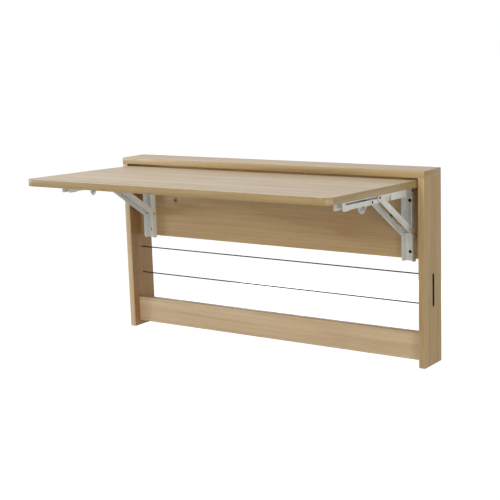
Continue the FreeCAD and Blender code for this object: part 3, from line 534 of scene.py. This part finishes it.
def crowned_head(tree, given):
    """A round head, its top at the origin, that falls away to its rim."""
    blank = add(tree, "GeometryNodeMeshCylinder", {
        "Vertices": HEAD_SIDES, "Side Segments": 1, "Fill Segments": HEAD_RINGS,
        "Radius": given["Radius"], "Depth": given["Height"]})["Mesh"]
    place = add(tree, "GeometryNodeInputPosition")[0]
    spot = add(tree, "ShaderNodeSeparateXYZ", (place,))
    flat = add(tree, "ShaderNodeCombineXYZ", {"X": spot["X"], "Y": spot["Y"]})[0]
    away = add(tree, "ShaderNodeVectorMath", (flat,), operation="LENGTH")["Value"]
    share = add(tree, "ShaderNodeMath", (away, given["Radius"]), operation="DIVIDE")[0]
    bulge = add(tree, "ShaderNodeMath", (share, CROWN_POWER), operation="POWER")[0]
    drop = add(tree, "ShaderNodeMath", (bulge, given["Crown"]), operation="MULTIPLY")[0]
    fall = add(tree, "ShaderNodeMath", (drop, -1.0), operation="MULTIPLY")[0]
    offset = add(tree, "ShaderNodeCombineXYZ", {"Z": fall})[0]
    upper = add(tree, "FunctionNodeCompare", (spot["Z"], 0.0), operation="GREATER_THAN")[0]
    crowned = add(tree, "GeometryNodeSetPosition", {
        "Geometry": blank, "Selection": upper, "Offset": offset})[0]
    half = add(tree, "ShaderNodeMath", (given["Height"], -0.5), operation="MULTIPLY")[0]
    under = add(tree, "ShaderNodeCombineXYZ", {"Z": half})[0]
    return add(tree, "GeometryNodeTransform", {"Geometry": crowned, "Translation": under})[0]


def driven_head(tree, given, head):
    """The head with a cross recess, where the recess has a size."""
    width = add(tree, "ShaderNodeMath", (given["Recess"], RECESS_WIDTH), operation="MULTIPLY")[0]
    depth = add(tree, "ShaderNodeMath", (given["Recess Depth"], 2.0), operation="MULTIPLY")[0]
    size = add(tree, "ShaderNodeCombineXYZ", (given["Recess"], width, depth))[0]
    bar = add(tree, "GeometryNodeMeshCube", {"Size": size})["Mesh"]
    bars = [add(tree, "GeometryNodeTransform", {"Geometry": bar, "Rotation": (0, 0, turn)})[0]
            for turn in (0, math.pi / 2)]
    driven = add(tree, "GeometryNodeMeshBoolean", {"Mesh 1": head, "Mesh 2": bars},
                 operation="DIFFERENCE")[0]
    cut = add(tree, "FunctionNodeCompare", (given["Recess"], 0.0), operation="GREATER_THAN")[0]
    return add(tree, "GeometryNodeSwitch", {"Switch": cut, "False": head, "True": driven},
               input_type="GEOMETRY")[0]


def fastener_tree():
    """Screws, rivets and cam locks: at every point a head with a crowned top and a shank, its
    top at the point, looking along the point's facing, and turned by chance like a driven one."""
    tree, given = new_tree("turned_fasteners", {
        "Radius": ("Float", 0.004), "Height": ("Float", 0.0026), "Crown": ("Float", 0.001),
        "Shank Radius": ("Float", 0.002), "Shank Length": ("Float", 0.01),
        "Recess": ("Float", 0.0), "Recess Depth": ("Float", 0.0), "Seed": ("Int", 1),
        "Material": ("Material", None)})
    top = driven_head(tree, given, crowned_head(tree, given))
    blank = add(tree, "GeometryNodeMeshCylinder", {
        "Vertices": SHANK_SIDES, "Radius": given["Shank Radius"],
        "Depth": given["Shank Length"]})["Mesh"]
    half = add(tree, "ShaderNodeMath", (given["Shank Length"], 0.5), operation="MULTIPLY")[0]
    reach = add(tree, "ShaderNodeMath", (half, given["Height"]))[0]
    below = add(tree, "ShaderNodeMath", (reach, -1.0), operation="MULTIPLY")[0]
    under = add(tree, "ShaderNodeCombineXYZ", {"Z": below})[0]
    shank = add(tree, "GeometryNodeTransform", {"Geometry": blank, "Translation": under})[0]
    whole = add(tree, "GeometryNodeJoinGeometry", ([top, shank],))[0]
    facing = add(tree, "GeometryNodeInputNamedAttribute", {"Name": "facing"},
                 data_type="FLOAT_VECTOR")[0]
    aligned = add(tree, "FunctionNodeAlignRotationToVector", {"Vector": facing}, axis="Z")[0]
    chance = add(tree, "FunctionNodeRandomValue", {
        "Min": 0.0, "Max": math.tau, "Seed": given["Seed"]}, data_type="FLOAT")["Value"]
    spin = add(tree, "FunctionNodeAxisAngleToRotation", {"Axis": (0, 0, 1), "Angle": chance})[0]
    turned = add(tree, "FunctionNodeRotateRotation", {"Rotation": aligned, "Rotate By": spin},
                 rotation_space="LOCAL")[0]
    copies = add(tree, "GeometryNodeInstanceOnPoints", {
        "Points": given["Geometry"], "Instance": creased(tree, whole, TURNED_CREASE),
        "Rotation": turned})[0]
    close_tree(tree, given, copies)
    return tree


def sweep_tree():
    """Bent wire: the given line with its corners rounded, swept by a round section."""
    tree, given = new_tree("bent_wire", {
        "Wire Radius": ("Float", 0.001), "Bend Radius": ("Float", 0.004),
        "Sides": ("Int", 20), "Material": ("Material", None)})
    line = add(tree, "GeometryNodeMeshToCurve", {"Mesh": given["Geometry"]})[0]
    bent = add(tree, "GeometryNodeFilletCurve", {
        "Curve": line, "Radius": given["Bend Radius"], "Count": BEND_POINTS}, mode="POLY")[0]
    section = add(tree, "GeometryNodeCurvePrimitiveCircle", {
        "Resolution": given["Sides"], "Radius": given["Wire Radius"]})["Curve"]
    swept = add(tree, "GeometryNodeCurveToMesh", {
        "Curve": bent, "Profile Curve": section, "Fill Caps": True})[0]
    close_tree(tree, given, creased(tree, swept, WIRE_CREASE))
    return tree


def spring_tree():
    """Torsion spring: a close helix round its pin, along X, and two straight legs."""
    tree, given = new_tree("torsion_spring", {
        "Coil Radius": ("Float", 0.0033), "Wire Radius": ("Float", 0.0004),
        "Turns": ("Float", 4.5), "Pitch": ("Float", 0.00084), "Upper Leg": ("Float", 0.018),
        "Lower Leg": ("Float", 0.005), "Centre": ("Vector", None), "Tilt": ("Float", 0.0),
        "Material": ("Material", None)})
    height = add(tree, "ShaderNodeMath", (given["Turns"], given["Pitch"]),
                 operation="MULTIPLY")[0]
    right, left = (add(tree, "ShaderNodeMath", (height, share), operation="MULTIPLY")[0]
                   for share in (0.5, -0.5))
    back, below = (add(tree, "ShaderNodeMath", (given[label], -1.0), operation="MULTIPLY")[0]
                   for label in ("Coil Radius", "Lower Leg"))
    helix = add(tree, "GeometryNodeCurveSpiral", {
        "Resolution": TURN_POINTS, "Rotations": given["Turns"],
        "Start Radius": given["Coil Radius"], "End Radius": given["Coil Radius"],
        "Height": height})[0]
    down = add(tree, "ShaderNodeCombineXYZ", {"Z": left})[0]
    centred = add(tree, "GeometryNodeTransform", {"Geometry": helix, "Translation": down})[0]
    coil = add(tree, "GeometryNodeTransform", {
        "Geometry": centred, "Rotation": (0, math.pi / 2, 0)})[0]
    strands = [coil]
    for ends in (((right, given["Coil Radius"], 0.0),
                  (right, given["Coil Radius"], given["Upper Leg"])),
                 ((left, 0.0, back), (left, below, back))):
        start, end = (add(tree, "ShaderNodeCombineXYZ", corner)[0] for corner in ends)
        strands.append(add(tree, "GeometryNodeCurvePrimitiveLine", {
            "Start": start, "End": end})[0])
    joined = add(tree, "GeometryNodeJoinGeometry", (strands,))[0]
    section = add(tree, "GeometryNodeCurvePrimitiveCircle", {
        "Resolution": SPRING_SIDES, "Radius": given["Wire Radius"]})["Curve"]
    wound = add(tree, "GeometryNodeCurveToMesh", {
        "Curve": joined, "Profile Curve": section, "Fill Caps": True})[0]
    lean = add(tree, "ShaderNodeCombineXYZ", {"X": given["Tilt"]})[0]
    stood = add(tree, "GeometryNodeTransform", {
        "Geometry": creased(tree, wound, WIRE_CREASE), "Translation": given["Centre"],
        "Rotation": lean})[0]
    close_tree(tree, given, stood)
    return tree


def grown(name, tree, points, edges=(), facings=(), **inputs):
    """The plain mesh that a tree makes from points, lines and directions."""
    seed = bpy.data.meshes.new(f"{name}_seed")
    seed.from_pydata(points, edges, [])
    if facings:
        layer = seed.attributes.new("facing", "FLOAT_VECTOR", "POINT")
        layer.data.foreach_set("vector", [value for facing in facings for value in facing])
    holder = bpy.data.objects.new(f"{name}_seed", seed)
    bpy.context.scene.collection.objects.link(holder)
    modifier = holder.modifiers.new("grown", "NODES")
    modifier.node_group = tree
    sockets = {item.name: item.identifier for item in tree.interface.items_tree
               if item.in_out == "INPUT"}
    for label, given in inputs.items():
        modifier[sockets[label.replace("_", " ").title()]] = given
    return plain_mesh(holder, name)


def solids(node):
    """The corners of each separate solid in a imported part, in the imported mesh's own order."""
    mesh = merged(node)
    left, found = set(mesh.verts), []
    for start in mesh.verts:
        if start not in left:
            continue
        left.remove(start)
        reached = [start]
        for corner in reached:
            near = [link.other_vert(corner) for link in corner.link_edges]
            near = [other for other in near if other in left]
            left.difference_update(near)
            reached.extend(near)
        found.append([corner.co.copy() for corner in reached])
    mesh.free()
    return found


def top_of(corners, facing):
    """Middle of a turned solid's end that looks along facing."""
    lows = Vector([min(corner[axis] for corner in corners) for axis in range(3)])
    highs = Vector([max(corner[axis] for corner in corners) for axis in range(3)])
    middle = (lows + highs) / 2
    reach = max(corner.dot(facing) for corner in corners)
    return middle + facing * (reach - middle.dot(facing))


def fasten(tree, node, material, facings_of, **sizes):
    """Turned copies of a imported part: facings_of names the ways a solid's heads look."""
    points, facings = [], []
    for corners in solids(node):
        middle = sum(corners, Vector()) / len(corners)
        for facing in facings_of(middle):
            points.append(top_of(corners, facing))
            facings.append(facing)
    mesh = grown(f"{node}_turned", tree, points, facings=facings, material=material,
                 seed=len(points), **sizes)
    show(f"{node}_turned", mesh, node)


# turned parts, in metres: their heads, shanks and cross recesses
SCREW = {"radius": 0.00425, "height": 0.0026, "crown": 0.0011, "shank_radius": 0.002,
         "shank_length": 0.0158, "recess": 0.0046, "recess_depth": 0.0015}
CAM_LOCK = {"radius": 0.0075, "height": 0.012, "crown": 0.0004, "shank_radius": 0.002,
            "shank_length": 0.0001, "recess": 0.0095, "recess_depth": 0.004}
KNEE_RIVET = {"radius": 0.0036, "height": 0.0012, "crown": 0.0006, "shank_radius": 0.0024,
              "shank_length": 0.0046}
PIVOT_PIN = {"radius": 0.0052, "height": 0.0012, "crown": 0.0006, "shank_radius": 0.004,
             "shank_length": 0.0156}
FOOT_PIN = {"radius": 0.0037, "height": 0.0012, "crown": 0.0006, "shank_radius": 0.0025,
            "shank_length": 0.0182}
LEVER_PIN = {"radius": 0.0037, "height": 0.00025, "crown": 0.000125, "shank_radius": 0.0025,
             "shank_length": 0.013}


def make_fasteners():
    """Every screw, rivet, pin and cam lock."""
    tree = fastener_tree()
    front, back = Vector((0, -1, 0)), Vector((0, 1, 0))
    left, right = Vector((-1, 0, 0)), Vector((1, 0, 0))
    for side in SIDES:
        fasten(tree, f"{side}_leg_screws", BLACK_STEEL, lambda middle: [front], **SCREW)
        fasten(tree, f"{side}_arm_screws", ZINC, lambda middle: [-TABLE_UP], **SCREW)
        for pin, finish, sizes in (("pivot_pin", ZINC, PIVOT_PIN),
                                   ("strut_foot_pin", ZINC, FOOT_PIN),
                                   ("lever_pin", BLACK_STEEL, LEVER_PIN)):
            fasten(tree, f"{side}_{pin}", finish, lambda middle: [left, right], **sizes)
        middle_x = sum(corner.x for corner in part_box(f"{side}_knee_rivets")) / 2
        fasten(tree, f"{side}_knee_rivets", BLACK_STEEL,
               lambda middle: [right if middle.x > middle_x else left], **KNEE_RIVET)
    fasten(tree, "cleat_screws", ZINC, lambda middle: [back], **SCREW)
    fasten(tree, "cam_locks", ZINC, cam_facing, **CAM_LOCK)


def cam_facing(middle):
    """Cam locks in the side panels look inwards, the others to the rear."""
    if abs(middle.x) > SIDE_CAMS:
        return [Vector((-math.copysign(1, middle.x), 0, 0))]
    return [Vector((0, 1, 0))]


def make_wire():
    """Rack wire: one length bent twice, its cross run in the right side panel's outer groove."""
    low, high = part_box("rack_wire")
    radius = (high.y - low.y) / 2
    across = (low.y + high.y) / 2
    turn = high.x - radius
    points = [(low.x, across, high.z - radius), (turn, across, high.z - radius),
              (turn, across, low.z + radius), (low.x, across, low.z + radius)]
    mesh = grown("rack_wire_bent", sweep_tree(), points, edges=[(0, 1), (1, 2), (2, 3)],
                 wire_radius=radius, bend_radius=WIRE_BEND, material=BLACK_WIRE)
    show("rack_wire_bent", mesh, "rack_wire")


def make_springs():
    """Torsion springs of the release levers."""
    tree = spring_tree()
    for side in SIDES:
        low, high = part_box(f"{side}_lever_pin")
        mesh = grown(f"{side}_lever_spring_wound", tree, [(0, 0, 0)], material=SPRING_STEEL,
                     centre=(low + high) / 2, tilt=-TABLE_TILT)
        show(f"{side}_lever_spring_wound", mesh, f"{side}_lever_spring")


# ---------------------------------------------------------------------------------------------
# Stage
# ---------------------------------------------------------------------------------------------
FLOOR_PAINT, WHITE = linear("#a8a8a6"), linear("#ffffff")


def seen_directly(tree):
    """1 for camera, glossy and transmission rays, which see the backdrop's colour."""
    path = add(tree, "ShaderNodeLightPath")
    either = add(tree, "ShaderNodeMath", (path["Is Camera Ray"], path["Is Glossy Ray"]),
                 operation="MAXIMUM")[0]
    return add(tree, "ShaderNodeMath", (either, path["Is Transmission Ray"]),
               operation="MAXIMUM")[0]


def make_floor():
    """Pale studio floor: white to the camera, and still darkened by a shadow."""
    mesh = bpy.data.meshes.new("studio_floor")
    corners = ((-1, -1), (1, -1), (1, 1), (-1, 1))
    mesh.from_pydata([(x * FLOOR_HALF, y * FLOOR_HALF, FLOOR_Z) for x, y in corners], [],
                     [(0, 1, 2, 3)])
    floor = bpy.data.objects.new("studio_floor", mesh)
    bpy.context.scene.collection.objects.link(floor)
    made, tree, place = new_material("pale_floor_paint")
    matt = add(tree, "ShaderNodeBsdfDiffuse", {"Color": FLOOR_PAINT})[0]
    away = add(tree, "ShaderNodeVectorMath", (place,), operation="LENGTH")["Value"]
    share = add(tree, "ShaderNodeMapRange", (away, GLOW_NEAR, GLOW_FAR, FLOOR_GLOW, 1))[0]
    strength = add(tree, "ShaderNodeMath", (seen_directly(tree), share), operation="MULTIPLY")[0]
    glow = add(tree, "ShaderNodeEmission", {"Color": WHITE, "Strength": strength})[0]
    both = add(tree, "ShaderNodeAddShader", (matt, glow))[0]
    add(tree, "ShaderNodeOutputMaterial", {"Surface": both})
    mesh.materials.append(made)


def make_world():
    """White surroundings for the eye and for reflections, and a weaker even light."""
    world = bpy.data.worlds.new("studio")
    bpy.context.scene.world = world
    world.use_nodes = True
    tree = world.node_tree
    tree.nodes.clear()
    strength = add(tree, "ShaderNodeMapRange", (seen_directly(tree), 0, 1, AMBIENT, 1.0))[0]
    light = add(tree, "ShaderNodeBackground", {"Color": WHITE, "Strength": strength})[0]
    add(tree, "ShaderNodeOutputWorld", {"Surface": light})


def make_softbox(name, place, target, size, power, tint):
    """A square soft lamp."""
    lamp = bpy.data.lights.new(name, "AREA")
    lamp.shape, lamp.size, lamp.energy, lamp.color = "SQUARE", size, power, tint
    holder = bpy.data.objects.new(name, lamp)
    bpy.context.scene.collection.objects.link(holder)
    holder.location = place
    holder.rotation_euler = (Vector(target) - Vector(place)).to_track_quat("-Z", "Y").to_euler()


def make_camera():
    """Camera in front of the desk's right half, a little above the tabletop."""
    forward = Vector((math.sin(YAW) * math.cos(PITCH), math.cos(YAW) * math.cos(PITCH),
                      math.sin(PITCH)))
    right = Vector((math.cos(YAW), -math.sin(YAW), 0))
    up = right.cross(forward)
    rolled = math.cos(ROLL) * right + math.sin(ROLL) * up
    upright = -math.sin(ROLL) * right + math.cos(ROLL) * up
    camera = bpy.data.objects.new("camera", bpy.data.cameras.new("camera"))
    bpy.context.scene.collection.objects.link(camera)
    camera.data.lens = LENS
    turn = Matrix((rolled, upright, -forward)).transposed().to_4x4()
    camera.matrix_world = Matrix.Translation(EYE) @ turn
    bpy.context.scene.camera = camera


dress_boards()
dress_fittings()
soften_bands()
soften_brackets()
make_fasteners()
make_wire()
make_springs()
make_floor()
make_world()
for lamp in SOFTBOXES:
    make_softbox(*lamp)
make_camera()
bpy.context.scene.view_settings.view_transform = "Standard"
